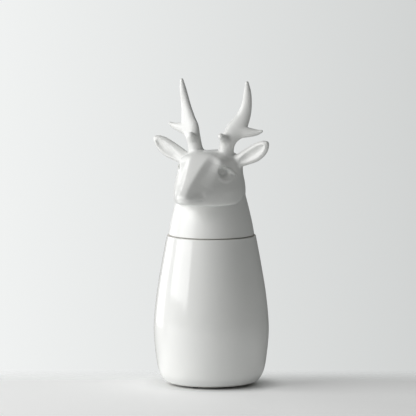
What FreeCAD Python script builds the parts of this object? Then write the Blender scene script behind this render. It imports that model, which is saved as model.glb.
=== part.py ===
"""A lidded porcelain jar whose lid is a slip-cast deer's head.

Millimetres, +Z up. The origin is on the table, under the middle of the jar. The deer looks along -Y, and its left
side is at +X. The jar stands on three clear stick-on feet. The lid is a tapered neck with the head luted on top of
it, two antlers, two ears, and a locating collar that drops into the jar's mouth inside a silicone seal.
"""

import FreeCAD, Part  # noqa: E401  this order keeps FreeCAD from crashing
import math
import os

V = FreeCAD.Vector

# ---- driving dimensions -------------------------------------------------------------------------------------------
WALL = 4.5                    # slip-cast wall of the jar
LID_WALL = 4.0                # slip-cast wall of the neck and head
FOOT_HEIGHT = 2.2             # clear dome feet, 7.9 mm across
FOOT_RADIUS = 3.95
FOOT_TREAD_RADIUS = 2.6
FOOT_CIRCLE = 38.0            # the feet stand on this radius, one of them under the deer's chin
FOOT_NAMES = ("front", "left", "right")

RIM_Z = 165.0                 # top of the jar's rim
RIM_RADIUS = 49.2
MOUTH_RADIUS = 44.0
MOUTH_DEPTH = 13.0            # straight part of the mouth
SEAM = 1.0                    # open line between rim and lid, held open by the seal's flange
LID_Z = RIM_Z + SEAM
EDGE = 0.9                    # rounding of fired edges

# Half section of the jar: (radius, height) from the foot's corner to the rim.
JAR_PROFILE = ((52.2, 4.6), (57.6, 14.0), (60.9, 30.0), (63.5, 62.0), (60.6, 98.0), (55.0, 133.0), (RIM_RADIUS, RIM_Z - EDGE))
JAR_BASE_RADIUS = 47.0
RECESS = (42.6, 43.8, 1.2)    # hollow inside the foot ring: radius at its roof, radius at its edge, depth

# Half section of the lid's neck.
NECK_PROFILE = ((47.2, LID_Z + EDGE), (44.8, 180.0), (40.9, 197.0), (37.1, 212.0))
NECK_TOP = 212.0

COLLAR_OUTER = 40.8
COLLAR_INNER = 37.0
COLLAR_BOTTOM = 151.0
COLLAR_BEAD = 42.3
SHELF = 3.6                   # web that joins the collar to the neck

SEAL_INNER = COLLAR_OUTER + 0.2
SEAL_SLEEVE = 42.1
SEAL_LIP = 43.6
SEAL_FLANGE = 46.0
SEAL_BOTTOM = 155.0

# ---- the deer's head ----------------------------------------------------------------------------------------------
# Level outlines of the head, each a wedge between a round back and a round front:
# (height, back centre y, back radius, front centre y, front radius).
HEAD_LEVELS = ((202.0, -5.4, 36.5, -48.0, 8.0), (206.0, -5.4, 39.4, -54.0, 10.5), (213.0, -5.4, 39.9, -60.0, 10.7),
               (222.0, -4.4, 39.1, -62.4, 10.8), (231.0, -2.7, 37.1, -56.0, 11.4), (240.0, -1.5, 35.8, -50.0, 12.5),
               (250.0, -1.0, 33.0, -43.0, 13.0), (256.0, -1.0, 26.0, -30.0, 10.0), (258.6, 0.0, 14.0, -16.0, 8.0))
BROW = V(0, -33.0, 251.8)     # where the sloping bridge of the nose starts
NOSE = V(0, -62.5, 223.4)     # where it ends
NAPE = ((37.1, 212.0), (32.8, 228.0), (26.0, 242.0))  # the neck's taper carried up behind the skull

# Limbs are stations along a line: (x, y, z, half width, half thickness).
BEAM = ((18.0, 0, 248, 9.5, 9), (18.6, -0.7, 257, 8.3, 8), (20.2, -1.0, 266, 8.0, 7.2), (22.6, 0.3, 273, 8.8, 6.6),
        (27.4, 4.0, 281.5, 10.6, 5.6), (32.2, 7.4, 290.5, 9.2, 5.0), (35.6, 10.5, 300, 7.2, 4.5),
        (38.2, 11.2, 311.5, 5.4, 4.0), (39.7, 9.4, 323.5, 4.0, 3.4), (40.2, 7.2, 335.6, 1.8, 1.7))
BEAM_BROAD = V(0.955, 0.297, 0)
PRONG = ((26, 2.6, 278.2, 5.5, 4.6), (36, 5.6, 279.8, 6.2, 4.2), (45, 8.2, 279.6, 4.7, 3.5), (51.5, 9.6, 279.9, 3.1, 2.6),
         (57.8, 10.1, 281.2, 1.4, 1.4))
PRONG_RISE = {"left": 0.0, "right": 4.0}             # the prongs were bent by hand, so one tip stands higher
KNOB = ((21.5, -1, 268.5, 5.2, 5.2), (20, -8, 272.4, 4.6, 4.6), (18.2, -15.6, 277.4, 2.6, 2.6))
EAR = ((31, 1, 246.5, 8.0, 5.0), (41, 1.2, 251.0, 9.6, 5.6), (52, 1.2, 256.6, 10.2, 5.6), (60, 0.6, 262.2, 9.0, 5.0),
       (65.6, -0.2, 266.7, 5.6, 3.6), (70.0, -0.8, 270.4, 1.8, 1.6))
EAR_HOLLOW = ((37, -7.4, 247.0, 3.0, 3), (43, -7.6, 250.4, 6.0, 5.0), (52, -7.8, 255.6, 7.6, 5.6),
              (60, -6.8, 261.6, 6.2, 4.6), (66, -5.6, 266.4, 1.6, 1.6))
EAR_BROAD = V(-0.5, 0, 0.86)

SECTION_POINTS = 12


# ---- helpers ------------------------------------------------------------------------------------------------------
def turned(points, curves=()):
    """The solid of revolution about Z of a closed half section: corners, and smooth runs as lists of points."""
    edges = []
    for start, end in zip(points, points[1:] + points[:1]):
        run = next((c for c in curves if c[0] == start and c[-1] == end), None)
        if run:
            curve = Part.BSplineCurve()
            curve.interpolate([V(r, 0, z) for r, z in run])
            edges.append(curve.toShape())
        else:
            edges.append(Part.makeLine(V(start[0], 0, start[1]), V(end[0], 0, end[1])))
    return solid(Part.Face(Part.Wire(edges)).revolve(V(), V(0, 0, 1), 360))


def solid(shape):
    """The one clean solid in a shape."""
    found = shape.Solids[0] if shape.Solids else Part.Solid(Part.Shell(shape.Faces))
    if found.Volume < 0:
        found.reverse()
    return found


def biggest(shape):
    """The largest solid of a cut, without the crumbs."""
    return max(shape.Solids, key=lambda s: s.Volume)


def wedge_wire(z, back_y, back_radius, front_y, front_radius):
    """A level outline: two arcs about (0, back_y) and (0, front_y), and the two lines tangent to both."""
    lean = math.asin((back_radius - front_radius) / (back_y - front_y))
    x, y = math.cos(lean), -math.sin(lean)

    def on(centre_y, radius, dx, dy):
        return V(radius * dx, centre_y + radius * dy, z)

    right_back, left_back = on(back_y, back_radius, -x, y), on(back_y, back_radius, x, y)
    right_front, left_front = on(front_y, front_radius, -x, y), on(front_y, front_radius, x, y)
    return Part.Wire([Part.Arc(left_back, on(back_y, back_radius, 0, 1), right_back).toShape(),
                      Part.makeLine(right_back, right_front),
                      Part.Arc(right_front, on(front_y, front_radius, 0, -1), left_front).toShape(),
                      Part.makeLine(left_front, left_back)])


def face_slab(depth=0.0):
    """Everything in front of and above the bridge of the nose, or of a plane that far behind it."""
    slope = (NOSE - BROW).normalize()
    outward = V(0, slope.z, -slope.y)
    slab = Part.makeBox(200, 200, 200, V(-100, -100, 0))
    slab.Placement = FreeCAD.Placement(BROW - outward * depth, FreeCAD.Rotation(V(0, 0, 1), outward))
    return slab


def head_wedge(wall=0.0):
    """The head's outer form, or its cavity when given a wall: stacked wedges cut off by the bridge of the nose."""
    top = len(HEAD_LEVELS) - 1
    levels = [(z + wall * (1 - 2 * i / top), by, br - wall, fy + 0.4 * wall, fr - wall)
              for i, (z, by, br, fy, fr) in enumerate(HEAD_LEVELS)]
    form = solid(Part.makeLoft([wedge_wire(*level) for level in levels], True, True))
    return biggest(form.cut(face_slab(wall)))


def inset(profile, wall):
    """The (radius, height) points of a half section moved inwards, square to its own line."""
    moved = []
    for i, (r, z) in enumerate(profile):
        r0, z0 = profile[max(i - 1, 0)]
        r1, z1 = profile[min(i + 1, len(profile) - 1)]
        run = math.hypot(r1 - r0, z1 - z0)
        moved.append((r - wall * (z1 - z0) / run, z + wall * (r1 - r0) / run))
    return moved


def limb(stations, broad, side=1):
    """A tapering limb lofted through oval sections, square to the line through the stations."""
    centres = [V(side * x, y, z) for x, y, z, _, _ in stations]
    wide = V(side * broad.x, broad.y, broad.z)
    sections = []
    for i, (_, _, _, half_width, half_thickness) in enumerate(stations):
        along = (centres[min(i + 1, len(centres) - 1)] - centres[max(i - 1, 0)]).normalize()
        across = (wide - along * wide.dot(along)).normalize()
        through = along.cross(across)
        ring = []
        for k in range(SECTION_POINTS):
            a = 2 * math.pi * k / SECTION_POINTS
            ring.append(centres[i] + across * (half_width * math.cos(a)) + through * (half_thickness * math.sin(a)))
        curve = Part.BSplineCurve()
        curve.interpolate(ring, PeriodicFlag=True)
        sections.append(Part.Wire([curve.toShape()]))
    return solid(Part.makeLoft(sections, True, False))


# ---- the jar ------------------------------------------------------------------------------------------------------
def jar_body():
    """The jar: bellied shell with a foot ring below and a straight mouth above."""
    outside = list(JAR_PROFILE)
    inside = inset(JAR_PROFILE, WALL)[1:-1]
    mouth_end = (MOUTH_RADIUS, RIM_Z - MOUTH_DEPTH)
    inside = [(JAR_BASE_RADIUS, FOOT_HEIGHT + WALL + 1.5)] + inside + [mouth_end]
    inside.reverse()
    roof_radius, edge_radius, depth = RECESS
    base = [(0, FOOT_HEIGHT + depth), (roof_radius, FOOT_HEIGHT + depth), (edge_radius, FOOT_HEIGHT),
            (JAR_BASE_RADIUS, FOOT_HEIGHT)]
    rim = [(RIM_RADIUS - EDGE, RIM_Z), (MOUTH_RADIUS + EDGE, RIM_Z), (MOUTH_RADIUS, RIM_Z - EDGE)]
    floor = [(0, FOOT_HEIGHT + WALL + 1.5)]
    corners = base + [outside[0], outside[-1]] + rim + [inside[0], inside[-1]] + floor
    return turned(corners, (outside, inside))


def foot(index):
    """A clear stick-on foot: a low dome with a flat tread, its sticky face against the jar."""
    recess = FOOT_HEIGHT + RECESS[2]
    angle = -math.pi / 2 + index * 2 * math.pi / len(FOOT_NAMES)
    dome = [(0, 0), (FOOT_TREAD_RADIUS, 0), (FOOT_RADIUS - 0.4, 1.0), (FOOT_RADIUS, 2.0), (FOOT_RADIUS, recess),
            (0, recess)]
    piece = turned(dome)
    piece.translate(V(FOOT_CIRCLE * math.cos(angle), FOOT_CIRCLE * math.sin(angle), 0))
    return piece


# ---- the lid's closure --------------------------------------------------------------------------------------------
def seal_ring():
    """The silicone seal: a flange under the lid, and a sleeve with two wiping lips."""
    lips = []
    for z in (RIM_Z - 3.0, RIM_Z - 6.5):
        lips += [(SEAL_SLEEVE, z + 0.8), (SEAL_LIP, z), (SEAL_SLEEVE, z - 0.8)]
    section = [(SEAL_INNER, LID_Z), (SEAL_FLANGE, LID_Z), (SEAL_FLANGE, RIM_Z), (SEAL_SLEEVE, RIM_Z)]
    return turned(section + lips + [(SEAL_SLEEVE, SEAL_BOTTOM), (SEAL_INNER, SEAL_BOTTOM)])


def lid_collar():
    """The locating collar: a tube with a retaining bead, on a shelf luted inside the foot of the neck."""
    bead = SEAL_BOTTOM - 0.4
    neck_foot, neck_next = (inset(NECK_PROFILE, LID_WALL)[i] for i in (0, 1))
    slope = (neck_next[0] - neck_foot[0]) / (neck_next[1] - neck_foot[1])
    shelf_top = LID_Z + SHELF
    at = {z: neck_foot[0] + slope * (z - neck_foot[1]) for z in (LID_Z, shelf_top)}
    return turned([(COLLAR_INNER, COLLAR_BOTTOM), (COLLAR_BEAD - EDGE, COLLAR_BOTTOM), (COLLAR_BEAD, bead - 1.2),
                   (COLLAR_OUTER, bead), (COLLAR_OUTER, LID_Z), (at[LID_Z], LID_Z), (at[shelf_top], shelf_top),
                   (COLLAR_INNER, shelf_top)])


def neck_solid(top=NECK_TOP):
    """The neck's outer form, filled."""
    outside = list(NECK_PROFILE)
    return turned([(0, LID_Z), (NECK_PROFILE[0][0] - EDGE, LID_Z), outside[0], outside[-1], (0, top)], (outside,))


def lid_neck(collar):
    """The neck: a tapered tube, open at both ends."""
    outside = list(NECK_PROFILE)
    bore = inset(NECK_PROFILE, LID_WALL)
    inside = [(bore[0][0], LID_Z)] + bore[1:-1] + [(bore[-1][0], NECK_TOP)]
    inside.reverse()
    shell = turned([(NECK_PROFILE[0][0] - EDGE, LID_Z), outside[0], outside[-1], inside[0], inside[-1]],
                   (outside, inside))
    return biggest(shell.cut(collar))


# ---- the head -----------------------------------------------------------------------------------------------------
def head_form():
    """The head's outer form, filled: the wedge of the face, and the nape behind it."""
    nape = turned([(0, NAPE[0][1]), *NAPE, (0, NAPE[-1][1])])
    return biggest(head_wedge().fuse(nape))


def deer_head(form):
    """The head casting: hollow, open below over the neck it is luted to."""
    hollow = head_wedge(LID_WALL)
    return biggest(form.cut(hollow).cut(neck_solid()))


def antler(side_name, form):
    """One antler: beam, outer prong and front knob, fitted to the skull."""
    side = 1 if side_name == "left" else -1
    rise = PRONG_RISE[side_name]
    far = PRONG[-1][0] - PRONG[0][0]
    prong = [(x, y, z + rise * (x - PRONG[0][0]) / far, w, t) for x, y, z, w, t in PRONG]
    piece = limb(BEAM, BEAM_BROAD, side)
    piece = piece.fuse(limb(prong, V(0, 0, 1), side)).fuse(limb(KNOB, V(1, 0, 0), side))
    return biggest(biggest(piece).cut(form))


def ear(side, form):
    """One ear: a pointed leaf scooped out at the front, fitted to the skull."""
    leaf = limb(EAR, EAR_BROAD, side).cut(limb(EAR_HOLLOW, EAR_BROAD, side))
    return biggest(biggest(leaf).cut(form))


# ---- build --------------------------------------------------------------------------------------------------------
def main():
    """Builds every piece and writes one STEP each."""
    form = head_form()
    collar = lid_collar()
    pieces = {"jar_body": jar_body(), "seal_ring": seal_ring(), "lid_collar": collar, "lid_neck": lid_neck(collar)}
    for index, name in enumerate(FOOT_NAMES):
        pieces["foot_" + name] = foot(index)
    pieces["deer_head"] = deer_head(form)
    for side_name, side in (("left", 1), ("right", -1)):
        pieces[side_name + "_antler"] = antler(side_name, form)
        pieces[side_name + "_ear"] = ear(side, form)
    os.makedirs("parts", exist_ok=True)
    for name, shape in pieces.items():
        shape.exportStep(os.path.join("parts", name + ".step"))
        box = shape.BoundBox
        print(f"{name:13s} valid {shape.isValid()} solids {len(shape.Solids)} volume {shape.Volume / 1000:8.2f} cm3 "
              f"x {box.XMin:7.1f} {box.XMax:7.1f} y {box.YMin:7.1f} {box.YMax:7.1f} z {box.ZMin:7.1f} {box.ZMax:7.1f}")


main()
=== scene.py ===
"""Lidded porcelain jar with a slip-cast deer's head: its finished pieces, their glazes and a small studio.

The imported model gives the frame: every piece is made where its CAD node stands and rides on that node's body.
Sculpting is done in millimetres and Blender's objects are in metres. The deer looks along -Y, its left at +X.
"""
import math

import bmesh
import bpy
import numpy as np
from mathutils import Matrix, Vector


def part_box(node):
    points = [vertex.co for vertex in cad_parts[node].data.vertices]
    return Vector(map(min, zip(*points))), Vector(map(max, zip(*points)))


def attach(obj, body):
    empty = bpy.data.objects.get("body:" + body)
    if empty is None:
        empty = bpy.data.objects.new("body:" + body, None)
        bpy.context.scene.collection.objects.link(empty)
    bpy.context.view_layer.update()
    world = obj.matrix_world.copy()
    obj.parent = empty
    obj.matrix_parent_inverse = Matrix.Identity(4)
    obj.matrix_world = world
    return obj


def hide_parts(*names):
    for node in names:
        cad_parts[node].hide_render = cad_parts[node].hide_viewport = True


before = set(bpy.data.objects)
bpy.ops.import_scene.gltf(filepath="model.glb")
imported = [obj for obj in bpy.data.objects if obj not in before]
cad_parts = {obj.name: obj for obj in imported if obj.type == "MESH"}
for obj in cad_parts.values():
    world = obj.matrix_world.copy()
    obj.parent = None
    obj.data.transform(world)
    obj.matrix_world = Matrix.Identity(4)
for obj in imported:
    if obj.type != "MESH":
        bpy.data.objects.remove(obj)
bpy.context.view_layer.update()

import openvdb
from bpy.props import FloatProperty, FloatVectorProperty, IntProperty, PointerProperty
from mathutils import Matrix, Vector

bl_info = {
    "name": "Deer's Head Jar",
    "version": (1, 0, 0),
    "blender": (4, 5, 0),
    "location": "View3D > Sidebar > Jar",
    "description": "Makes a lidded porcelain jar whose lid is a slip-cast deer's head",
    "category": "Add Mesh",
}

MM = 0.001
BODY_JAR, BODY_SEAL, BODY_LID = "jar", "seal", "lid"


def bottom_of(node):
    """The lowest height of a CAD node, in metres."""
    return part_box(node)[0][2]


def top_of(node):
    """The highest point of a CAD node, in metres."""
    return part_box(node)[1][2]


def reach_of(node):
    """How far a CAD node reaches from the jar's axis along +X, in metres."""
    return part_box(node)[1][0]


# ---- settings ----
def length(name, description, default):
    """A length property, in metres."""
    return FloatProperty(name=name, description=description, default=default, min=0.0, precision=4,
                         subtype="DISTANCE", unit="LENGTH")


def colour(name, description, default):
    """A colour property."""
    return FloatVectorProperty(name=name, description=description, default=default, min=0.0, max=1.0, size=3,
                               subtype="COLOR")


class JarSizes(bpy.types.PropertyGroup):
    """Sizes of the jar and of what closes it."""
    rim_height: length("Rim height", "Height of the jar's rim above the table", top_of("jar_body"))
    foot_height: length("Foot height", "Height of the clear feet below the foot ring", bottom_of("jar_body"))
    wall: length("Wall", "Thickness of the cast wall of the jar", 4.5 * MM)
    mouth_radius: length("Mouth radius", "Inner radius of the jar's mouth", 44.0 * MM)
    edge: length("Edge", "Rounding that firing leaves on an edge", 0.9 * MM)
    facets: IntProperty(name="Facets", description="Faces round a turned piece", default=192, min=24, max=512)


class LidSizes(bpy.types.PropertyGroup):
    """Sizes of the cast lid and of the clay it is modelled in."""
    foot: length("Lid foot", "Height of the lid's lower edge above the table", bottom_of("lid_neck"))
    wall: length("Wall", "Thickness of the cast wall of the lid", 4.0 * MM)
    joint_height: length("Joint height", "Height at which the head is luted to the neck", 197.0 * MM)
    grain: length("Grain", "Finest step of the modelled head", 0.75 * MM)


class GlazeColours(bpy.types.PropertyGroup):
    """Colours of the fired clay, the glazes and the soft parts."""
    porcelain: colour("Porcelain", "White glaze over white porcelain", (0.86, 0.862, 0.845))
    # A darker tone of the glaze: painted shade and the glaze's pooling in the lid's creases, random clouds on
    # both glazes, and the jar towards its foot.
    darker_glaze: colour("Pooled glaze", "The cooler tone where the glaze is thick", (0.76, 0.778, 0.768))
    bisque: colour("Bare porcelain", "Unglazed porcelain on the foot ring and the seats", (0.80, 0.775, 0.73))
    silicone: colour("Silicone", "The seal between lid and jar", (0.34, 0.345, 0.34))
    paper: colour("Paper", "The pale surface under the jar", (0.86, 0.865, 0.86))


# ---- shader maths ----
class Wire:
    """A shader socket that arithmetic can be done on: each operation adds its Math node."""

    def __init__(self, finish, socket):
        self.finish = finish
        self.socket = socket

    def _maths(self, operation, first, second):
        return self.finish.node("ShaderNodeMath", {"operation": operation}, {0: first, 1: second})

    def __add__(self, other):
        return self._maths("ADD", self, other)

    __radd__ = __add__

    def __mul__(self, other):
        return self._maths("MULTIPLY", self, other)

    __rmul__ = __mul__

    def __sub__(self, other):
        return self._maths("SUBTRACT", self, other)

    def __rsub__(self, other):
        return self._maths("SUBTRACT", other, self)


class Finish:
    """A material whose nodes all come from one method."""

    def __init__(self, name):
        self.material = bpy.data.materials.new(name)
        self.material.use_nodes = True
        self.tree = self.material.node_tree
        self.tree.nodes.clear()

    def node(self, kind, settings=None, values=None, output=0):
        """Adds a node: its settings, then the values or links of its sockets. Gives one output as a Wire."""
        node = self.tree.nodes.new(kind)
        for key, value in (settings or {}).items():
            setattr(node, key, value)
        for key, value in (values or {}).items():
            socket = self.socket(node.inputs, key)
            if isinstance(value, Wire):
                self.tree.links.new(value.socket, socket)
            else:
                socket.default_value = value
        return Wire(self, self.socket(node.outputs, output)) if len(node.outputs) else None

    @staticmethod
    def socket(sockets, key):
        """A socket by its identifier, its name or its place in the list."""
        named = [socket for socket in sockets if socket.identifier == key]
        return named[0] if named else sockets[key]

    def place(self):
        """Object coordinates, in metres."""
        return self.node("ShaderNodeTexCoord", output="Object")

    def part(self, vector, axis):
        """The X, Y or Z of a vector."""
        return self.node("ShaderNodeSeparateXYZ", values={0: vector}, output=axis)

    def radius(self, vector):
        """The distance of a point from the Z axis."""
        flat = self.node("ShaderNodeVectorMath", {"operation": "MULTIPLY"}, {0: vector, 1: (1.0, 1.0, 0.0)})
        return self.node("ShaderNodeVectorMath", {"operation": "LENGTH"}, {0: flat}, output="Value")

    def along(self, vector, direction):
        """How far a point lies along a direction."""
        return self.node("ShaderNodeVectorMath", {"operation": "DOT_PRODUCT"},
                         {0: vector, 1: tuple(direction)}, output="Value")

    def between(self, value, low, high):
        """0 below low and 1 above high, with a smooth step between. low may be the larger."""
        return self.node("ShaderNodeMapRange", {"interpolation_type": "SMOOTHSTEP"},
                         {"Value": value, "From Min": low, "From Max": high})

    def noise(self, vector, scale, detail=2.0, roughness=0.5):
        """Soft noise from 0 to 1, at a number of cells a metre."""
        return self.node("ShaderNodeTexNoise", {"noise_dimensions": "3D"},
                         {"Vector": vector, "Scale": scale, "Detail": detail, "Roughness": roughness})

    def blend(self, factor, first, second):
        """A colour between two others."""
        return self.node("ShaderNodeMix", {"data_type": "RGBA"},
                         {"Factor_Float": factor, "A_Color": first, "B_Color": second}, output="Result_Color")

    def bump(self, height, depth):
        """A normal from a height of 0 to 1 over a depth in metres."""
        return self.node("ShaderNodeBump", values={"Strength": 1.0, "Distance": depth, "Height": height})

    def surface(self, **values):
        """Ends the material in a Principled surface."""
        named = {key.replace("_", " "): value for key, value in values.items()}
        shader = self.node("ShaderNodeBsdfPrincipled", values=named)
        self.node("ShaderNodeOutputMaterial", values={"Surface": shader})
        return self.material


def opaque(rgb):
    """A colour as a socket's value."""
    return (*rgb, 1.0)


# ---- glazes ----
def gloss_glaze(sizes, colours):
    """The jar's clear gloss: a slow ripple, a darker, cooler tone in random clouds and towards the foot, and
    bare on the foot ring and seat.
    """
    finish = Finish("jar_gloss")
    place = finish.place()
    height, radius = finish.part(place, "Z"), finish.radius(place)
    cloud = finish.noise(place, 16.0, 3.0)
    ripple = finish.noise(place, 42.0, 1.0)
    foot, rim, mouth = sizes.foot_height, sizes.rim_height, sizes.mouth_radius
    ring = finish.between(height, foot + 1.0 * MM, foot + 0.6 * MM)
    ring = ring * finish.between(radius, (FOOT_RING[0] - 0.6) * MM, (FOOT_RING[0] - 0.1) * MM)
    seat = finish.between(height, rim - 0.25 * MM, rim - 0.1 * MM)
    seat = seat * finish.between(radius, mouth + 0.6 * MM, mouth + 1.0 * MM)
    bare = ring + seat * finish.between(radius, mouth + 4.7 * MM, mouth + 4.3 * MM)
    # Darker towards the foot: from 16 mm above the table, fully so below 4 mm.
    heel = finish.between(height, 16.0 * MM, 4.0 * MM)
    darkening = finish.between(cloud, 0.35, 0.75) * 0.22 + heel * 0.35
    glazed = finish.blend(darkening, opaque(colours.porcelain), opaque(colours.darker_glaze))
    grain = finish.noise(place, 1400.0, 2.0)
    relief = ripple + grain * bare * 0.2
    return finish.surface(
        Base_Color=finish.blend(bare, glazed, opaque(colours.bisque)),
        Roughness=0.075 + finish.noise(place, 60.0, 3.0) * 0.05 + bare * 0.6,
        Normal=finish.bump(relief, 0.16 * MM), IOR=1.5)


SATIN = "lid_satin"


def satin_glaze(sizes, colours):
    """The lid's satin white: darker in hollows, partly the glaze's pooling and partly painted shade, rougher
    where the glaze thins over ridges, and bare where the lid sits.
    """
    finish = Finish(SATIN)
    place = finish.place()
    height = finish.part(place, "Z")
    concavity = finish.node("ShaderNodeAttribute", {"attribute_name": "concavity"}, output="Fac")
    cloud = finish.noise(place, 28.0, 3.0)
    bare = finish.between(height, sizes.foot + 0.5 * MM, sizes.foot + 0.2 * MM)
    bare = bare * finish.between(height, sizes.foot - 0.4 * MM, sizes.foot - 0.1 * MM)
    # Darker in creases, partly the glaze's pooling and partly painted shade; random clouds add a real variation
    # of tone.
    darkening = finish.between(concavity, 0.5, 1.0) * 0.55 + finish.between(cloud, 0.4, 0.8) * 0.15
    glazed = finish.blend(darkening, opaque(colours.porcelain), opaque(colours.darker_glaze))
    thin = finish.between(concavity, 0.42, 0.1)
    return finish.surface(
        Base_Color=finish.blend(bare, glazed, opaque(colours.bisque)),
        Roughness=0.27 + finish.noise(place, 90.0, 3.0) * 0.08 + thin * 0.06 + bare * 0.45,
        Normal=finish.bump(finish.noise(place, 260.0, 2.0), 0.05 * MM), IOR=1.5)


def silicone_rubber(colours):
    """The seal: matte grey silicone with a faint bloom."""
    finish = Finish("seal_silicone")
    place = finish.place()
    bloom = finish.noise(place, 120.0, 3.0)
    dusty = tuple(min(1.0, 1.25 * c) for c in colours.silicone)
    return finish.surface(
        Base_Color=finish.blend(bloom * 0.6, opaque(colours.silicone), opaque(dusty)),
        Roughness=0.5 + bloom * 0.15, Normal=finish.bump(finish.noise(place, 900.0, 2.0), 0.02 * MM))


def clear_polyurethane():
    """The stick-on feet: clear, soft and a little scuffed on the tread."""
    finish = Finish("clear_feet_polyurethane")
    place = finish.place()
    scuff = finish.between(finish.part(place, "Z"), 0.5 * MM, 0.0) * finish.noise(place, 1500.0, 3.0)
    return finish.surface(
        Base_Color=finish.blend(scuff, (0.93, 0.95, 0.95, 1.0), (0.7, 0.7, 0.68, 1.0)),
        Roughness=0.12 + scuff * 0.5, Transmission_Weight=0.8, IOR=1.49)


# ---- turned pieces ----
# A half section is a list of (radius, height) in millimetres. A third number rounds its corner.
JAR_OUTSIDE = ((52.2, 4.6), (57.6, 14.0), (60.9, 30.0), (63.5, 62.0), (60.6, 98.0), (55.0, 133.0),
               (49.2, 164.1))
NECK_OUTSIDE = ((47.2, 166.9), (44.8, 180.0), (40.8, 197.1), (37.6, 209.3), (33.4, 225.0), (28.8, 236.0))
FOOT_RING = (43.8, 47.6)            # inner and outer radius of what the jar was fired on
LEVEL_CUT = 1.03                    # how much wider the sloping wall of the neck is in a level cut
COLLAR_BORE, COLLAR_TUBE, COLLAR_BEAD = 37.0, 40.8, 42.3


def smooth_run(points, steps):
    """A Catmull-Rom curve through points of any size, with steps pieces to each span."""
    knots = np.array(points, float)
    knots = np.vstack([2 * knots[0] - knots[1], knots, 2 * knots[-1] - knots[-2]])
    t = np.linspace(0, 1, steps, endpoint=False)[:, None]
    spans = []
    for a, b, c, d in zip(knots, knots[1:], knots[2:], knots[3:]):
        spans.append(0.5 * (2 * b + (c - a) * t + (2 * a - 5 * b + 4 * c - d) * t**2
                            + (3 * b - 3 * c + d - a) * t**3))
    return np.vstack(spans + [knots[-2:-1]])


def inset(outline, wall):
    """An outline of (radius, height) moved inwards by the wall, square to itself."""
    run = np.gradient(outline, axis=0)
    run /= np.linalg.norm(run, axis=1)[:, None]
    return outline + wall * np.column_stack([-run[:, 1], run[:, 0]])


def eased(corners, steps=5):
    """An outline whose corners (radius, height, rounding) are turned into arcs."""
    points = np.array([corner[:2] for corner in corners], float)
    outline = []
    for before, (point, corner), after in zip([None, *points], zip(points, corners), [*points[1:], None]):
        rounding = corner[2] if len(corner) > 2 else 0.0
        if not rounding or before is None or after is None:
            outline.append(point)
            continue
        back, ahead = before - point, after - point
        rounding = min(rounding, 0.49 * np.linalg.norm(back), 0.49 * np.linalg.norm(ahead))
        start = point + back / np.linalg.norm(back) * rounding
        end = point + ahead / np.linalg.norm(ahead) * rounding
        for t in np.linspace(0, 1, steps):
            outline.append((1 - t)**2 * start + 2 * t * (1 - t) * point + t**2 * end)
    return outline


def start_tree(name, *inputs):
    """A geometry nodes tree with its two end nodes, from inputs given as (name, kind of socket)."""
    tree = bpy.data.node_groups.new(name, "GeometryNodeTree")
    for label, kind in (*inputs, ("Finish", "Material")):
        tree.interface.new_socket(label, in_out="INPUT", socket_type="NodeSocket" + kind)
    tree.interface.new_socket("Geometry", in_out="OUTPUT", socket_type="NodeSocketGeometry")
    return tree, tree.nodes.new("NodeGroupInput"), tree.nodes.new("NodeGroupOutput")


def end_tree(tree, given, result, *steps):
    """Links the steps in a row, and ends the row in Realize Instances and Set Material."""
    realize = tree.nodes.new("GeometryNodeRealizeInstances")
    coat = tree.nodes.new("GeometryNodeSetMaterial")
    tree.links.new(given.outputs["Finish"], coat.inputs["Material"])
    row = (*steps, realize, coat, result)
    for before, after in zip(row, row[1:]):
        tree.links.new(before.outputs[0], after.inputs[0])
    return tree


def turning_tree(name):
    """Geometry nodes that sweep a half section round the Z axis."""
    tree, given, result = start_tree(name, ("Half section", "Geometry"), ("Facets", "Int"),
                                     ("Wheel radius", "Float"))
    wheel = tree.nodes.new("GeometryNodeCurvePrimitiveCircle")
    sweep = tree.nodes.new("GeometryNodeCurveToMesh")
    weld = tree.nodes.new("GeometryNodeMergeByDistance")
    smooth = tree.nodes.new("GeometryNodeSetShadeSmooth")
    weld.inputs["Distance"].default_value = 0.002 * MM
    link = tree.links.new
    link(given.outputs["Facets"], wheel.inputs["Resolution"])
    link(given.outputs["Wheel radius"], wheel.inputs["Radius"])
    link(given.outputs["Half section"], sweep.inputs["Profile Curve"])
    return end_tree(tree, given, result, wheel, sweep, weld, smooth)


def set_inputs(modifier, values):
    """Sets a geometry nodes modifier's inputs by the identifiers of their sockets."""
    for item in modifier.node_group.interface.items_tree:
        if item.in_out == "INPUT" and item.name in values:
            modifier[item.identifier] = values[item.name]


def bake_nodes(source, name):
    """Turns what a modifier makes of the source object into a plain mesh object, and removes the source."""
    graph = bpy.context.evaluated_depsgraph_get()
    mesh = bpy.data.meshes.new_from_object(source.evaluated_get(graph), depsgraph=graph)
    mesh.name = name
    bpy.data.objects.remove(source)
    return new_object(name, mesh)


def new_object(name, mesh):
    """A new object at the origin."""
    made = bpy.data.objects.new(name, mesh)
    bpy.context.scene.collection.objects.link(made)
    return made


def volume_of(mesh):
    """Signed volume of a closed mesh: positive when its faces point outwards."""
    shape = bmesh.new()
    shape.from_mesh(mesh)
    volume = shape.calc_volume(signed=True)
    shape.free()
    return volume


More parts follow.
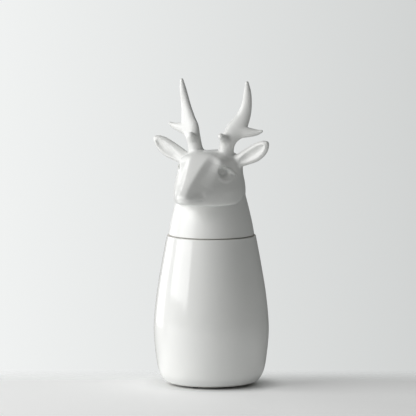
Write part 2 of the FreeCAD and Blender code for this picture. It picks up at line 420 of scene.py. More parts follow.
def turned_piece(name, outline, facets, finish, closed=True):
    """A piece of revolution from its half section in millimetres."""
    wheel_radius = 50.0 * MM
    curve = bpy.data.curves.new(name, "CURVE")
    curve.dimensions = "2D"
    spline = curve.splines.new("POLY")
    spline.points.add(len(outline) - 1)
    for point, (radius, height) in zip(spline.points, outline):
        point.co = (radius * MM - wheel_radius, -height * MM, 0.0, 1.0)
    spline.use_cyclic_u = closed
    source = new_object(name, curve)
    modifier = source.modifiers.new("Turning", "NODES")
    modifier.node_group = turning_tree("Turning " + name)
    set_inputs(modifier, {"Facets": facets, "Wheel radius": wheel_radius, "Finish": finish})
    piece = bake_nodes(source, name)
    if volume_of(piece.data) < 0:
        piece.data.flip_normals()
    piece.data.set_sharp_from_angle(angle=math.radians(40))
    return piece


def hand_over(piece, body, slot, *nodes):
    """Puts a finished piece in the frame: on its body and in place of its CAD nodes. The slot is not used."""
    if volume_of(piece.data) <= 0:
        raise RuntimeError(piece.name + " is inside out or empty")
    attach(piece, body)
    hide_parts(*nodes)


def jar_outline(sizes):
    """Half section of the jar: foot ring, belly, rounded rim, straight mouth and the inside."""
    foot, rim, mouth = sizes.foot_height / MM, sizes.rim_height / MM, sizes.mouth_radius / MM
    wall, edge = sizes.wall / MM, sizes.edge / MM
    recess, mouth_depth = 1.2, 13.0
    roof, floor, mouth_end = foot + recess, foot + wall + 1.5, rim - mouth_depth
    outside = smooth_run(JAR_OUTSIDE, 12)
    shell = inset(np.array(JAR_OUTSIDE), wall)[1:-1]
    inside = smooth_run([(47.0, floor + 0.6), *shell, (mouth, mouth_end)], 10)
    under = eased([(0.0, roof), (FOOT_RING[0] - recess, roof, 0.5), (FOOT_RING[0], foot, 0.5),
                   (FOOT_RING[1], foot, 2.2), JAR_OUTSIDE[0]])
    rim_radius = JAR_OUTSIDE[-1][0]
    lip = eased([(rim_radius, rim - 2 * edge), (rim_radius, rim, edge), (mouth, rim, edge),
                 (mouth, mouth_end)], 7)
    hollow = [point for point in inside[::-1] if point[1] < mouth_end]
    return [*under[:-1], *outside, *lip[1:-1], (mouth, mouth_end), *hollow, (40.0, floor), (0.0, floor)]


def neck_outline(lid, top):
    """Half section of the lid's neck: a tapered tube with a rounded lower edge, cut off level at the top."""
    foot, wall = lid.foot / MM, lid.wall / MM
    run = smooth_run(NECK_OUTSIDE, 16)
    outside = run[run[:, 1] < top - 0.05]
    crown = [np.interp(top, run[:, 1], run[:, 0]), top]
    whole = np.vstack([outside, crown])
    inside = inset(whole, wall)
    inside[-1] = (crown[0] - wall * LEVEL_CUT, top)
    start = NECK_OUTSIDE[0]
    edge = eased([(inside[0][0], foot), (start[0] + 0.1, foot, 0.8), tuple(outside[1])], 7)
    return [*edge[:-1], *outside[1:], crown, *inside[:0:-1], (inside[0][0], foot + 0.6)]


def collar_outline(lid):
    """Half section of the locating collar: its tube, the bead that keeps the seal on, and the shelf above."""
    foot = lid.foot / MM
    low, high = bottom_of("lid_collar") / MM, top_of("lid_collar") / MM
    shelf = reach_of("lid_collar") / MM
    bead = foot - 11.4
    bore, tube = COLLAR_BORE, COLLAR_TUBE
    return eased([(bore, low + 2.0), (bore, low, 0.8), (41.4, low, 0.8), (COLLAR_BEAD, bead - 1.2, 0.8),
                  (tube, bead, 0.5), (tube, foot, 0.4), (shelf, foot), (shelf - 0.7, high), (bore, high, 1.5),
                  (bore, low + 4.0)], 5)


def seal_outline(lid, sizes):
    """Half section of the seal: flange, sleeve and two wiping lips."""
    foot, rim = lid.foot / MM, sizes.rim_height / MM
    inner, sleeve, lip, flange = 41.0, 42.1, 43.6, 46.0
    top = foot - 0.04
    outline = [(inner, top, 0.2), (flange, top, 0.3), (flange, rim, 0.3), (sleeve, rim, 0.3)]
    for height in (rim - 3.0, rim - 6.5):
        outline += [(sleeve, height + 0.8, 0.2), (lip, height, 0.25), (sleeve, height - 0.8, 0.2)]
    low = bottom_of("seal_ring") / MM
    return eased([(inner, rim - 4.0), *outline, (sleeve, low, 0.3), (inner, low, 0.3), (inner, rim - 6.0)], 4)


# ---- clear feet ----
FOOT_NODES = ("foot_front", "foot_left", "foot_right")


def centre_of(node):
    """The middle of a CAD node, flat on the table."""
    low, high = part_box(node)
    return Vector(((low[0] + high[0]) / 2, (low[1] + high[1]) / 2, 0.0))


def feet_tree():
    """Geometry nodes that set a foot on each point of a ring."""
    tree, given, result = start_tree("Ring of feet", ("Geometry", "Geometry"), ("Feet", "Int"),
                                     ("Ring radius", "Float"), ("First angle", "Float"), ("Foot", "Object"))
    ring = tree.nodes.new("GeometryNodeMeshCircle")
    turn = tree.nodes.new("GeometryNodeTransform")
    angle = tree.nodes.new("ShaderNodeCombineXYZ")
    foot = tree.nodes.new("GeometryNodeObjectInfo")
    stand = tree.nodes.new("GeometryNodeInstanceOnPoints")
    link = tree.links.new
    link(given.outputs["Feet"], ring.inputs["Vertices"])
    link(given.outputs["Ring radius"], ring.inputs["Radius"])
    link(given.outputs["First angle"], angle.inputs["Z"])
    link(angle.outputs["Vector"], turn.inputs["Rotation"])
    link(given.outputs["Foot"], foot.inputs["Object"])
    link(foot.outputs["Geometry"], stand.inputs["Instance"])
    return end_tree(tree, given, result, ring, turn, stand)


# ---- modelling clay ----
# A form is a function that gives, for an array of points in millimetres, the distance to the clay's surface:
# negative inside the clay.
REAL = np.float32
FAR = REAL(50.0)


def soft_union(first, second, reach):
    """Two forms joined by a fillet."""
    overlap = np.maximum(reach - np.abs(first - second), 0) / reach
    return np.minimum(first, second) - overlap**3 * reach / 6


def soft_cut(first, second, reach):
    """What two forms share, with a rounded edge. A form is cut away by giving it with its sign changed."""
    return -soft_union(-first, -second, reach)


def oval(points, centre, radii):
    """An ellipsoid."""
    away = points - np.array(centre, REAL)
    radii = np.array(radii, REAL)
    near = np.linalg.norm(away / radii, axis=-1)
    steep = np.linalg.norm(away / radii**2, axis=-1)
    return near * (near - 1) / np.maximum(steep, 1e-6)


def limb(points, stations, broad, steps=4, margin=9.0):
    """A tapering limb of oval section along stations of (x, y, z, half width, half thickness)."""
    line = smooth_run(stations, steps).astype(REAL)
    low = line[:, :3].min(axis=0) - line[:, 3].max() - margin
    high = line[:, :3].max(axis=0) + line[:, 3].max() + margin
    inside = np.all((points > low) & (points < high), axis=-1)
    distance = np.full(points.shape[:-1], FAR, REAL)
    close = points[inside]
    if not len(close):
        return distance
    best = np.full(len(close), FAR, REAL)
    for start, end in zip(line[:-1], line[1:]):
        along = end[:3] - start[:3]
        span = np.linalg.norm(along)
        along = along / span
        across = np.array(broad, REAL) - along * np.dot(broad, along)
        across /= np.linalg.norm(across)
        through = np.cross(along, across)
        away = close - start[:3]
        t = np.clip(away @ along / span, 0, 1)
        wide = start[3] + t * (end[3] - start[3])
        darkening = start[4] + t * (end[4] - start[4])
        away = away - (t * span)[:, None] * along
        scales = np.stack([wide, darkening, np.minimum(wide, darkening)])
        terms = np.stack([away @ across, away @ through, away @ along]) / scales
        near = np.linalg.norm(terms, axis=0)
        steep = np.linalg.norm(terms / scales, axis=0)
        best = np.minimum(best, near * (near - 1) / np.maximum(steep, 1e-4))
    distance[inside] = best
    return distance


def mirrored(points):
    """The points on the deer's other side."""
    return points * np.array((-1, 1, 1), REAL)


def folded(points):
    """The points brought to the deer's left side."""
    left = points.copy()
    left[..., 0] = np.abs(left[..., 0])
    return left


# Level outlines of the head: height, then the back circle's centre and radius and the front circle's.
HEAD_LEVELS = smooth_run((
    (192, -5.4, 37.8, -48.0, 10.5), (203, -5.4, 38.6, -55.0, 10.6), (208, -5.4, 39.0, -59.0, 10.7),
    (213, -5.4, 39.1, -61.2, 10.7), (217.5, -5.2, 38.9, -62.2, 10.7), (222, -4.4, 38.3, -62.4, 10.7),
    (228, -3.2, 37.0, -58.0, 11.0), (234, -2.2, 35.9, -53.5, 12.0), (240, -1.5, 35.4, -50.0, 12.5),
    (250, -1.0, 35.0, -45.0, 14.0), (262, -1.0, 33.5, -38.0, 16.0)), 24)
NECK_LINE = smooth_run(NECK_OUTSIDE, 24)
CROWN = np.array((0, -21, 260.2), REAL)         # the forehead falls from here
BROW = np.array((0, -33, 251.8), REAL)          # to here, and the bridge of the nose
NOSE = np.array((0, -62.5, 223.4), REAL)        # from here to here
DOWN_FACE = (NOSE - BROW) / np.linalg.norm(NOSE - BROW)
OUT_OF_FACE = np.array((0, DOWN_FACE[2], -DOWN_FACE[1]), REAL)
DOWN_BROW = (BROW - CROWN) / np.linalg.norm(BROW - CROWN)
OUT_OF_BROW = np.array((0, DOWN_BROW[2], -DOWN_BROW[1]), REAL)
JAW_LINE = ((-75, 204.8), (-58, 203.8), (-45, 203.0), (-30, 202.0), (-14, 202.8), (-3, 206.6), (12, 211.6),
            (30, 217.0))                        # how high the head's lower edge is along Y
HEAD_TOP = 258.8
DOME_FOOT = 228.0                               # the crown's dome springs from this height


def level_outline(points):
    """Distance to the head's level outline: two circles and the two lines tangent to both."""
    heights = HEAD_LEVELS[:, 0]
    back_y, back, front_y, front = (np.interp(points[..., 2], heights, column).astype(REAL)
                                    for column in HEAD_LEVELS[:, 1:].T)
    x, ahead = np.abs(points[..., 0]), back_y - points[..., 1]
    span = back_y - front_y
    lean = (back - front) / span
    square = np.sqrt(1 - lean**2)
    along = ahead * square - x * lean
    side = x * square + ahead * lean - back
    by_back, by_front = np.hypot(x, ahead) - back, np.hypot(x, ahead - span) - front
    return np.where(along < 0, by_back, np.where(along > square * span, by_front, side))


def ramp(value, softness):
    """The value where it is above nought, and nought below, with a soft bend between."""
    return 0.5 * (value + np.sqrt(value**2 + softness**2))


def along_face(down, *values):
    """A size that changes down the face, from its value at the hairline to its value at the nose."""
    return np.interp(down, (-10, 0, 10, 20, 30, 42), values).astype(REAL)


def sloping_face(points):
    """The top of the head: the forehead, the flat bridge of the nose and the slopes beside it."""
    away, x = points - BROW, np.abs(points[..., 0])
    down, up = away @ DOWN_FACE, away @ OUT_OF_FACE
    edge = along_face(down, 9.4, 9.0, 7.9, 6.6, 5.2, 4.0)
    width = along_face(down, 8.0, 7.8, 7.0, 6.0, 5.4, 5.0)
    steep = along_face(down, 0.2, 0.84, 1.0, 1.0, 0.96, 0.84)
    gentle = along_face(down, 0.0, 0.16, 0.42, 0.62, 0.78, 0.84)
    fall = steep * ramp(x - edge, 1.8) + (gentle - steep) * ramp(x - edge - width, 3.0)
    bridge = (up + fall) * REAL(0.86)
    return soft_cut(bridge, away @ OUT_OF_BROW, 5)


def skull(points):
    """The head without its details: a wedge under a dome, cut off by the face and by the line of the jaw."""
    form = level_outline(points) * REAL(0.95)
    raised = points.copy()
    raised[..., 2] = np.maximum(raised[..., 2], DOME_FOOT)
    form = soft_cut(form, oval(raised, (0, -4, DOME_FOOT), (43.0, 90.0, HEAD_TOP - DOME_FOOT)), 9)
    line, height = zip(*JAW_LINE)
    jaw = np.interp(points[..., 1], line, height).astype(REAL) - points[..., 2]
    form = soft_cut(form, jaw * REAL(0.96), 4 + 8 * np.clip((points[..., 1] + 5) / 20, 0, 1))
    return soft_cut(form, sloping_face(points), 5)


def neck(points):
    """The tapered neck, carried up behind the skull."""
    radius = np.interp(points[..., 2], NECK_LINE[:, 1], NECK_LINE[:, 0]).astype(REAL)
    form = (np.hypot(points[..., 0], points[..., 1]) - radius) * REAL(0.975)
    return soft_cut(form, points[..., 2] - 232.0, 10)


def eye(points, form):
    """A deep-set eye on the flank: its socket, the ball in it, the two lids and the fold that trails back."""
    form = soft_cut(form, -oval(points, (31.0, -25.2, 238.8), (8.4, 8.2, 6.8)), 2.6)
    form = soft_union(form, oval(points, (20.2, -20.0, 237.0), (6.2, 6.4, 5.2)), 2.4)
    upper = ((28.4, -25.0, 242.2, 0.5, 0.5), (29.8, -21.8, 242.4, 1.1, 0.9), (31.8, -17.6, 240.4, 1.5, 1.2),
             (33.4, -13.6, 237.0, 1.4, 1.1), (34.6, -8.6, 234.2, 0.6, 0.6))
    lower = ((25.6, -30.4, 231.6, 0.7, 0.6), (27.4, -27.6, 229.0, 1.2, 1.0), (30.4, -23.0, 228.2, 1.5, 1.2),
             (33.2, -16.4, 230.4, 1.3, 1.0), (34.4, -12.0, 233.0, 0.6, 0.6))
    form = soft_union(form, limb(points, upper, (0, 0, 1), 3), 2.6)
    return soft_union(form, limb(points, lower, (0, 0, 1), 3), 3.2)


def nose_and_mouth(points, form):
    """Nostrils pressed in beside the nose, the hollow behind them, and the line of the mouth."""
    form = soft_cut(form, -oval(points, (9.4, -71.8, 218.4), (2.2, 2.6, 1.8)), 3.6)
    form = soft_cut(form, -oval(points, (18.6, -64.5, 215.0), (3.6, 11.0, 4.4)), 7.0)
    line = ((0, -72.0, 208.8, 0.5, 0.5), (6.5, -69.4, 208.4, 0.5, 0.5), (12.2, -61.6, 208.6, 0.4, 0.4),
            (16.4, -54, 209.6, 0.3, 0.3))
    return soft_cut(form, -limb(points, line, (0, 0, 1), 3), 2.2)


def ear(points):
    """A leaf-shaped ear, hollowed at the front."""
    leaf = ((31, 1, 247.6, 7.0, 5.0), (41, 1.2, 252.2, 8.4, 5.6), (52, 1.2, 257.4, 9.4, 5.8),
            (60, 0.6, 262.6, 8.6, 5.2), (65.2, -0.2, 266.8, 6.0, 4.2), (68.0, -0.8, 269.0, 3.2, 2.8))
    bowl = ((38, -5.8, 248.6, 2.6, 3.0), (44, -6.4, 252.0, 5.0, 5.0), (52, -6.8, 256.6, 6.6, 5.4),
            (59.6, -6.0, 261.8, 5.4, 4.6), (64.2, -4.8, 265.6, 2.4, 2.6))
    broad = (-0.5, 0, 0.86)
    return soft_cut(limb(points, leaf, broad, 8), -limb(points, bowl, broad, 8), 2.6)


def antler(points, rise):
    """A beam with one outer prong and a front knob. The prong's tip is bent up by rise."""
    beam = ((18.0, 0, 248, 9.5, 9.0), (18.6, -0.7, 257, 8.3, 8.0), (20.2, -1.0, 266, 8.0, 7.2),
            (22.6, 0.3, 273, 8.8, 6.6), (27.4, 4.0, 281.5, 10.6, 5.6), (32.2, 7.4, 290.5, 9.2, 5.0),
            (35.6, 10.5, 300, 7.2, 4.5), (38.2, 11.2, 311.5, 5.4, 4.0), (39.7, 9.4, 323.5, 4.0, 3.4),
            (40.2, 7.2, 334.0, 1.9, 1.8))
    prong = ((26, 2.6, 278.2, 5.5, 4.6), (36, 5.6, 279.8 + 0.2 * rise, 6.2, 4.2),
             (45, 8.2, 279.6 + 0.55 * rise, 4.7, 3.5), (51.5, 9.6, 279.9 + 0.8 * rise, 3.1, 2.6),
             (56.4, 10.1, 281.2 + rise, 1.6, 1.6))
    knob = ((21.5, -1, 268.5, 5.2, 5.2), (20.0, -8, 272.4, 4.6, 4.6), (18.6, -12.6, 275.6, 3.6, 3.6))
    form = soft_union(limb(points, beam, (0.955, 0.297, 0)), limb(points, prong, (0, 0, 1)), 3.2)
    return soft_union(form, limb(points, knob, (1, 0, 0)), 5)


PRONG_RISE_LEFT, PRONG_RISE_RIGHT = 0.0, 4.0


def nape_reach(points):
    """How far the fillet between skull and neck reaches: tight under the jaw and wide at the nape."""
    behind = np.clip((points[..., 1] - 4) / 22, 0, 1)
    above_joint = np.clip((points[..., 2] - 199) / 14, 0, 1)
    return 2.2 + 14 * behind * above_joint


def bare_head(points):
    """Skull and neck, joined tightly under the jaw and softly at the nape."""
    return soft_union(skull(points), neck(points), nape_reach(points))


def cast_lid(points):
    """The whole lid above its joint: head, ears and antlers, with all their details."""
    left = folded(points)
    form = nose_and_mouth(left, eye(left, skull(points)))
    form = soft_union(form, neck(points), nape_reach(points))
    form = soft_union(form, ear(left), 5)
    horns = np.minimum(antler(points, PRONG_RISE_LEFT), antler(mirrored(points), PRONG_RISE_RIGHT))
    return soft_union(form, horns, 7)


# ---- from clay to mesh ----
BATCH = 400000                  # points measured at a time
LARGEST_MOVE = 0.4              # how far a point may settle in one round, in millimetres


def measure(form, points):
    """A form's distances, worked out a batch at a time."""
    return np.concatenate([form(points[i:i + BATCH]) for i in range(0, len(points), BATCH)]).astype(REAL)


def slope(form, points, step):
    """The form's gradient, by differences over a step."""
    rise = np.empty_like(points)
    for axis in range(3):
        nudge = np.zeros(3, REAL)
        nudge[axis] = step
        rise[:, axis] = (measure(form, points + nudge) - measure(form, points - nudge)) / (2 * step)
    return rise


def hollowness(form, points, reach):
    """How concave the surface is at each point, from 0 on a ridge to 1 in a crease, with 0.5 on the flat."""
    around = -6 * measure(form, points)
    for axis in range(3):
        nudge = np.zeros(3, REAL)
        nudge[axis] = reach
        around += measure(form, points + nudge) + measure(form, points - nudge)
    return np.clip(0.5 - around / reach * 0.5, 0, 1)


def surface_of(form, low, high, grain, block=12):
    """Points and faces of a form's surface, from a grid that is filled in only near the surface."""
    low, high = np.array(low, REAL), np.array(high, REAL)
    blocks = np.ceil((high - low) / (grain * block)).astype(int)
    corners = np.stack(np.meshgrid(*(np.arange(n) for n in blocks), indexing="ij"), axis=-1).reshape(-1, 3)
    middles = measure(form, (low + (corners + 0.5) * block * grain).astype(REAL))
    values = np.repeat(np.repeat(np.repeat(middles.reshape(blocks), block, 0), block, 1), block, 2)
    cells = np.stack(np.meshgrid(*[np.arange(block)] * 3, indexing="ij"), axis=-1).reshape(-1, 3)
    crossed = corners[np.abs(middles) < block * grain]
    batch = BATCH // block**3
    for i in range(0, len(crossed), batch):
        group = crossed[i:i + batch]
        index = group[:, None, :] * block + cells[None, :, :]
        found = form((low + index.reshape(-1, 3) * grain).astype(REAL))
        flat = index.reshape(-1, 3)
        values[flat[:, 0], flat[:, 1], flat[:, 2]] = found
    grid = openvdb.FloatGrid()
    grid.background = 5.0
    grid.copyFromArray(np.ascontiguousarray(values, REAL))
    points, triangles, quads = grid.convertToPolygons(isovalue=0.0, adaptivity=0.0)
    points = (points * grain + low).astype(REAL)
    return points, [*quads[:, ::-1].tolist(), *triangles[:, ::-1].tolist()]


def settle(form, points, rounds=2):
    """Moves points on to the form's surface, a little at a time."""
    for _ in range(rounds):
        rise = slope(form, points, REAL(0.15))
        steep = np.maximum((rise**2).sum(axis=1), 0.05)
        move = (measure(form, points) / steep)[:, None] * rise
        size = np.linalg.norm(move, axis=1, keepdims=True)
        points = points - move * np.minimum(1, LARGEST_MOVE / np.maximum(size, 1e-6))
    return points


OUTSIDE, INSIDE, JOINT = 0, 1, 2      # what a face of the cast lid belongs to
# The left antler's joint and the left ear's: a point on it, its normal and how far the cut reaches.
SIDE_JOINTS = (((18.8, -0.8, 262.0), (0.1, 0, 1), 17), ((42.0, 1.0, 251.4), (0.9, 0, 0.43), 13.5))
# Corners of the space that is searched for a surface. The low height is worked out from the joint.
LID_SPACE = (-72, -77), (72, 42, 339)
CAVITY_SPACE = (-42, -74), (42, 42, 262)
# A point near each surface of each piece: the head has an outside and a cavity.
SEEDS = {"deer_head": ((0, -73, 218), (0, -40, 222)),
         "left_antler": ((40, 7, 334),), "right_antler": ((-40, 7, 334),),
         "left_ear": ((68, 0, 269),), "right_ear": ((-68, 0, 269),)}


class Casting:
    """The lid's shell as a mesh that can be cut apart at its joints."""

    def __init__(self):
        self.shape = bmesh.new()
        self.side = self.shape.faces.layers.int.new("side")
        self.joints = []

    def add(self, points, faces, side):
        """Adds a surface in millimetres."""
        verts = [self.shape.verts.new(point) for point in points.tolist()]
        for face in faces:
            self.shape.faces.new([verts[i] for i in face])[self.side] = side

    def cut(self, point, normal, reach=None):
        """Cuts the shell along a plane, within reach of a point, and leaves both lips open."""
        point, normal = Vector(point), Vector(normal).normalized()
        self.joints.append((point, normal))
        faces = [f for f in self.shape.faces
                 if reach is None or (f.calc_center_median() - point).length < reach]
        parts = {part for f in faces for part in (*f.verts, *f.edges, f)}
        result = bmesh.ops.bisect_plane(self.shape, geom=list(parts), dist=1e-4, plane_co=point,
                                        plane_no=normal)
        lips = [e for e in result["geom_cut"] if isinstance(e, bmesh.types.BMEdge)]
        bmesh.ops.split_edges(self.shape, edges=lips)

    def take(self, seeds):
        """The parts of the shell joined to the vertices nearest the seeds, as a new closed shape."""
        verts = list(self.shape.verts)
        places = np.array([v.co for v in verts])
        reached = set()
        waiting = [verts[int(np.argmin(((places - np.array(seed))**2).sum(axis=1)))] for seed in seeds]
        while waiting:
            vert = waiting.pop()
            if vert in reached:
                continue
            reached.add(vert)
            waiting.extend(edge.other_vert(vert) for edge in vert.link_edges)
        piece = bmesh.new()
        side = piece.faces.layers.int.new("side")
        copies = {vert: piece.verts.new(vert.co) for vert in reached}
        for face in {f for v in reached for f in v.link_faces}:
            piece.faces.new([copies[v] for v in face.verts])[side] = face[self.side]
        for point, normal in self.joints:
            lips = [e for e in piece.edges if e.is_boundary and
                    all(abs((v.co - point).dot(normal)) < 1e-3 for v in e.verts)]
            if lips:
                filled = bmesh.ops.triangle_fill(piece, use_beauty=True, normal=normal, edges=lips)
                for face in filled["geom"]:
                    if isinstance(face, bmesh.types.BMFace):
                        face[side] = JOINT
        if any(not e.is_manifold for e in piece.edges):
            raise RuntimeError("the casting isn't closed")
        bmesh.ops.recalc_face_normals(piece, faces=piece.faces)
        if piece.calc_volume(signed=True) < 0:
            bmesh.ops.reverse_faces(piece, faces=piece.faces)
        return piece


def cast_object(name, piece, forms, finish):
    """A finished cast piece, with normals from its own form and the hollowness of each point stored on it,
    which the glaze turns into pooling and painted shade in creases.
    """
    piece.verts.ensure_lookup_table()
    side = piece.faces.layers.int["side"]
    points = np.array([v.co for v in piece.verts], REAL)
    sides = [f[side] for f in piece.faces]
    normals = {}
    for key, form in forms.items():
        rise = slope(form, points, REAL(0.1))
        normals[key] = rise / np.linalg.norm(rise, axis=1, keepdims=True) * (1 if key == OUTSIDE else -1)
    # How concave the surface is: the satin glaze darkens creases by it, as the glaze's pooling and as painted
    # shade.
    concavity = hollowness(forms[OUTSIDE], points, REAL(1.6))
    mesh = bpy.data.meshes.new(name)
    piece.to_mesh(mesh)
    piece.free()
    mesh.transform(Matrix.Scale(MM, 4))
    mesh.attributes.new("concavity", "FLOAT", "POINT").data.foreach_set("value", concavity)
    mesh.polygons.foreach_set("use_smooth", [True] * len(mesh.polygons))
    corners = [(0.0, 0.0, 0.0)] * len(mesh.loops)
    for polygon, key in zip(mesh.polygons, sides):
        for loop in polygon.loop_indices:
            own = polygon.normal if key == JOINT else normals[key][mesh.loops[loop].vertex_index]
            corners[loop] = tuple(float(c) for c in own)
    mesh.normals_split_custom_set(corners)
    mesh.attributes.remove(mesh.attributes["side"])
    mesh.materials.append(finish)
    return new_object(name, mesh)


# ---- operators ----
class JAR_OT_body(bpy.types.Operator):
    """Turn the jar's body from its half section"""
    bl_idname = "jar.body"
    bl_label = "Jar body"

    def execute(self, context):
        sizes, colours = context.scene.jar_sizes, context.scene.glaze_colours
        finish = gloss_glaze(sizes, colours)
        piece = turned_piece("jar_shell", jar_outline(sizes), sizes.facets, finish, closed=False)
        hand_over(piece, BODY_JAR, "glossy_glaze", "jar_body")
        return {"FINISHED"}


class JAR_OT_feet(bpy.types.Operator):
    """Set the clear feet in a ring under the jar"""
    bl_idname = "jar.feet"
    bl_label = "Clear feet"

    def execute(self, context):
        sizes = context.scene.jar_sizes
        finish, radius = clear_polyurethane(), 3.93
        first = centre_of(FOOT_NODES[0])
        high = top_of(FOOT_NODES[0]) / MM - 0.02
        dome = eased([(0.0, 0.0), (2.6, 0.0, 0.5), (3.55, 1.0, 0.8), (radius, 2.0, 0.6), (radius, high),
                      (0.0, high)])
        foot = turned_piece("foot_dome", dome, sizes.facets // 4, finish, closed=False)
        source = new_object("clear_feet", bpy.data.meshes.new("clear_feet"))
        modifier = source.modifiers.new("Ring", "NODES")
        modifier.node_group = feet_tree()
        set_inputs(modifier, {"Feet": len(FOOT_NODES), "Ring radius": first.length, "Foot": foot,
                              "Finish": finish, "First angle": math.atan2(first.y, first.x)})
        piece = bake_nodes(source, "clear_feet")
        bpy.data.objects.remove(foot)
        hand_over(piece, BODY_JAR, "clear_foot", *FOOT_NODES)
        return {"FINISHED"}


class JAR_OT_seal(bpy.types.Operator):
    """Turn the silicone seal"""
    bl_idname = "jar.seal"
    bl_label = "Seal"

    def execute(self, context):
        scene = context.scene
        finish = silicone_rubber(scene.glaze_colours)
        outline = seal_outline(scene.lid_sizes, scene.jar_sizes)
        piece = turned_piece("silicone_seal", outline, scene.jar_sizes.facets, finish)
        hand_over(piece, BODY_SEAL, "silicone", "seal_ring")
        return {"FINISHED"}


class JAR_OT_lid_foot(bpy.types.Operator):
    """Turn the lid's neck and the collar inside it"""
    bl_idname = "jar.lid_foot"
    bl_label = "Lid neck and collar"

    def execute(self, context):
        scene = context.scene
        lid, facets = scene.lid_sizes, scene.jar_sizes.facets
        finish = satin_glaze(lid, scene.glaze_colours)
        neck_piece = turned_piece("lid_neck_tube", neck_outline(lid, lid.joint_height / MM), facets, finish)
        collar = turned_piece("locating_collar", collar_outline(lid), facets, finish)
        for piece in (neck_piece, collar):
            # Turned pieces count as flat, so their glaze gets no crease darkening.
            flat = [0.5] * len(piece.data.vertices)
            piece.data.attributes.new("concavity", "FLOAT", "POINT").data.foreach_set("value", flat)
        hand_over(neck_piece, BODY_LID, "satin_glaze", "lid_neck")
        hand_over(collar, BODY_LID, "satin_glaze", "lid_collar")
        return {"FINISHED"}


class JAR_OT_head(bpy.types.Operator):
    """Model the deer's head with its antlers and ears, and cut it apart at its luted joints"""
    bl_idname = "jar.head"
    bl_label = "Deer's head"

    def execute(self, context):
        lid = context.scene.lid_sizes
        joint, wall, grain = lid.joint_height / MM, lid.wall / MM, REAL(lid.grain / MM)
        below = joint - 5.0

        def cavity(points):
            return bare_head(points) + wall

        def ending_below(form):
            return lambda points: np.maximum(form(points), below - points[..., 2])

        casting = Casting()
        low, high = LID_SPACE
        points, faces = surface_of(ending_below(cast_lid), (*low, below - 3), high, grain)
        casting.add(settle(cast_lid, points), faces, OUTSIDE)
        low, high = CAVITY_SPACE
        points, faces = surface_of(ending_below(cavity), (*low, below - 3), high, 2 * grain)
        casting.add(settle(cavity, points), [face[::-1] for face in faces], INSIDE)
        casting.cut((0, 0, joint), (0, 0, 1))
        for side in (1, -1):
            for (x, y, z), (normal_x, normal_y, normal_z), reach in SIDE_JOINTS:
                casting.cut((side * x, y, z), (side * normal_x, normal_y, normal_z), reach)
        finish = bpy.data.materials.get(SATIN) or satin_glaze(lid, context.scene.glaze_colours)
        for node, seeds in SEEDS.items():
            own = {OUTSIDE: cast_lid, INSIDE: cavity} if node == "deer_head" else {OUTSIDE: cast_lid}
            piece = cast_object(node + "_cast", casting.take(seeds), own, finish)
            hand_over(piece, BODY_LID, "satin_glaze", node)
        casting.shape.free()
        return {"FINISHED"}


# ---- the studio ----
VIEW_TURN, VIEW_RISE, VIEW_DISTANCE = math.radians(27.0), math.radians(6.6), 6.0
FRAME_WIDTH = 0.4576            # how much of the scene the picture takes in at the jar, in metres
AIM_HEIGHT, AIM_SIDE = 0.19478, -0.00363
WINDOW_TURN, WINDOW_RISE, WINDOW_DISTANCE = math.radians(73.0), math.radians(22.0), 1.7
WINDOW_POWER, FAR_WINDOW_POWER = 25.5, 9.0
PAPER_LIFT = 0.24               # the room's light on the paper, beyond what the two windows give
# The far wall's painted light: brighter on the left, on the window's side, darker on the right.
WALL_LEFT, WALL_RIGHT = (0.885, 0.90, 0.895), (0.63, 0.645, 0.64)
ROOM_SEEN, ROOM_LIGHT = (0.76, 0.775, 0.77), (0.145, 0.149, 0.145)
TO_CAMERA = Vector((math.sin(VIEW_TURN), -math.cos(VIEW_TURN), 0.0))
TO_RIGHT = Vector((math.cos(VIEW_TURN), math.sin(VIEW_TURN), 0.0))
UP = Vector((0.0, 0.0, 1.0))


def facing(place, target):
    """The rotation that points a lamp or a camera at a target."""
    return (target - place).to_track_quat("-Z", "Y")


def paper_finish(colours):
    """Pale paper that glows with painted room light, has a painted shadow round the jar's foot where the glow
    is taken away, and fades out behind the jar and far around it.
    """
    finish = Finish("pale_paper")
    place = finish.place()
    fade = finish.between(finish.along(place, -TO_CAMERA), 0.0, 0.11)
    far = finish.between(finish.radius(place), 0.9, 1.5)
    gone = finish.node("ShaderNodeMath", {"operation": "MAXIMUM"}, {0: fade, 1: far})
    tooth = finish.noise(place, 700.0, 3.0)
    # Painted shadow: the paper's glow is taken away within 46 to 86 mm of the jar's axis.
    outside_painted_shadow = finish.between(finish.radius(place), 46.0 * MM, 86.0 * MM)
    duller = [0.97 * c for c in colours.paper]
    paper = finish.node("ShaderNodeBsdfPrincipled", values={
        "Base Color": finish.blend(tooth * 0.3, opaque(colours.paper), opaque(duller)),
        "Roughness": 0.6, "Normal": finish.bump(tooth, 0.03 * MM),
        "Emission Color": finish.blend(outside_painted_shadow, opaque((0.0, 0.0, 0.0)), opaque((1.0, 1.0, 1.0))),
        "Emission Strength": PAPER_LIFT})
    clear = finish.node("ShaderNodeBsdfTransparent")
    mixed = finish.node("ShaderNodeMixShader", values={0: gone, 1: paper, 2: clear})
    finish.node("ShaderNodeOutputMaterial", values={"Surface": mixed})
    return finish.material


def wall_finish():
    """A glowing far wall with painted light that falls off gently from left to right, brighter on the window's
    side.
    """
    finish = Finish("far_wall")
    across = finish.along(finish.place(), TO_RIGHT)
    share = finish.node("ShaderNodeMapRange", values={"Value": across, "From Min": -0.55, "From Max": 0.55})
    tone = finish.blend(share, opaque(WALL_LEFT), opaque(WALL_RIGHT))
    glow = finish.node("ShaderNodeEmission", values={"Color": tone, "Strength": 1.0})
    finish.node("ShaderNodeOutputMaterial", values={"Surface": glow})
    return finish.material


def sheet_of(name, corners, finish):
    """A flat four-cornered sheet."""
    mesh = bpy.data.meshes.new(name)
    mesh.from_pydata([tuple(corner) for corner in corners], [], [(0, 1, 2, 3)])
    mesh.materials.append(finish)
    return new_object(name, mesh)


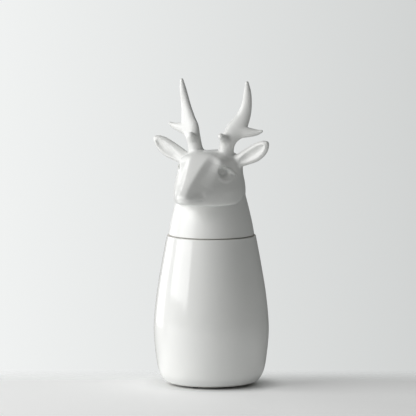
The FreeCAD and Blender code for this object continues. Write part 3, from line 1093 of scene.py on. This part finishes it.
def soft_lamp(name, place, target, width, depth, power):
    """A rectangular soft light."""
    lamp = bpy.data.lights.new(name, "AREA")
    lamp.shape = "RECTANGLE"
    lamp.size, lamp.size_y, lamp.energy = width, depth, power
    made = new_object(name, lamp)
    made.location = place
    made.rotation_mode = "QUATERNION"
    made.rotation_quaternion = facing(place, target)
    return made


class JAR_OT_stage(bpy.types.Operator):
    """Set up the pale floor, the window light and the camera"""
    bl_idname = "jar.stage"
    bl_label = "Stage"

    def execute(self, context):
        scene = context.scene
        floor = sheet_of("floor", [Vector((x, y, 0.0)) for x, y in ((-3, -3), (3, -3), (3, 3), (-3, 3))],
                         paper_finish(scene.glaze_colours))
        middle = TO_CAMERA * -7.0 - UP * 0.72
        corners = ((-1, -1), (1, -1), (1, 4), (-1, 4))
        wall = sheet_of("far_wall", [middle + TO_RIGHT * x + UP * z for x, z in corners], wall_finish())
        self.light(scene)
        target = UP * AIM_HEIGHT + TO_RIGHT * AIM_SIDE
        camera = new_object("camera", bpy.data.cameras.new("camera"))
        away = TO_CAMERA * math.cos(VIEW_RISE) + UP * math.sin(VIEW_RISE)
        camera.location = target + away * VIEW_DISTANCE
        camera.rotation_mode = "QUATERNION"
        camera.rotation_quaternion = facing(camera.location, target)
        camera.data.sensor_width = 36.0
        camera.data.lens = camera.data.sensor_width * VIEW_DISTANCE / FRAME_WIDTH
        camera.data.clip_end = 50.0
        scene.camera = camera
        scene.view_settings.view_transform = "Standard"
        return {"FINISHED"}

    def light(self, scene):
        """The window, a weaker one behind the jar and the room's own light."""
        aim = Vector((0.0, 0.0, 0.17))
        level = TO_CAMERA * math.cos(WINDOW_TURN) - TO_RIGHT * math.sin(WINDOW_TURN)
        towards = level * math.cos(WINDOW_RISE) + UP * math.sin(WINDOW_RISE)
        soft_lamp("window", aim + towards * WINDOW_DISTANCE, aim, 1.5, 1.3, WINDOW_POWER)
        behind = TO_CAMERA * -1.15 - TO_RIGHT * 1.5 + UP * 0.45
        soft_lamp("far_window", behind, aim, 1.1, 1.2, FAR_WINDOW_POWER)
        world = bpy.data.worlds.new("room")
        scene.world = world
        world.use_nodes = True
        tree = world.node_tree
        tree.nodes.clear()
        seen = tree.nodes.new("ShaderNodeBackground")
        room = tree.nodes.new("ShaderNodeBackground")
        which = tree.nodes.new("ShaderNodeLightPath")
        mix = tree.nodes.new("ShaderNodeMixShader")
        end = tree.nodes.new("ShaderNodeOutputWorld")
        seen.inputs["Color"].default_value = opaque(ROOM_SEEN)
        room.inputs["Color"].default_value = opaque(ROOM_LIGHT)
        tree.links.new(which.outputs["Is Camera Ray"], mix.inputs[0])
        tree.links.new(room.outputs[0], mix.inputs[1])
        tree.links.new(seen.outputs[0], mix.inputs[2])
        tree.links.new(mix.outputs[0], end.inputs["Surface"])


class JAR_PT_panel(bpy.types.Panel):
    """The jar's settings and its pieces"""
    bl_idname = "JAR_PT_panel"
    bl_label = "Deer's Head Jar"
    bl_space_type = "VIEW_3D"
    bl_region_type = "UI"
    bl_category = "Jar"

    def draw(self, context):
        for group in (context.scene.jar_sizes, context.scene.lid_sizes, context.scene.glaze_colours):
            box = self.layout.box()
            for name in group.__annotations__:
                box.prop(group, name)
        for operator in OPERATORS:
            self.layout.operator(operator.bl_idname)


SETTINGS = {"jar_sizes": JarSizes, "lid_sizes": LidSizes, "glaze_colours": GlazeColours}
OPERATORS = (JAR_OT_stage, JAR_OT_body, JAR_OT_feet, JAR_OT_seal, JAR_OT_lid_foot, JAR_OT_head)


def register():
    """Registers the settings, the operators and the panel."""
    for name, group in SETTINGS.items():
        bpy.utils.register_class(group)
        setattr(bpy.types.Scene, name, PointerProperty(type=group))
    for made in (*OPERATORS, JAR_PT_panel):
        bpy.utils.register_class(made)


def unregister():
    """Takes back what register did."""
    for made in (JAR_PT_panel, *reversed(OPERATORS)):
        bpy.utils.unregister_class(made)
    for name, group in SETTINGS.items():
        delattr(bpy.types.Scene, name)
        bpy.utils.unregister_class(group)


def main():
    """Makes every piece in order."""
    register()
    bpy.ops.jar.stage()
    bpy.ops.jar.body()
    bpy.ops.jar.feet()
    bpy.ops.jar.seal()
    bpy.ops.jar.lid_foot()
    bpy.ops.jar.head()


if __name__ == "__main__":
    main()
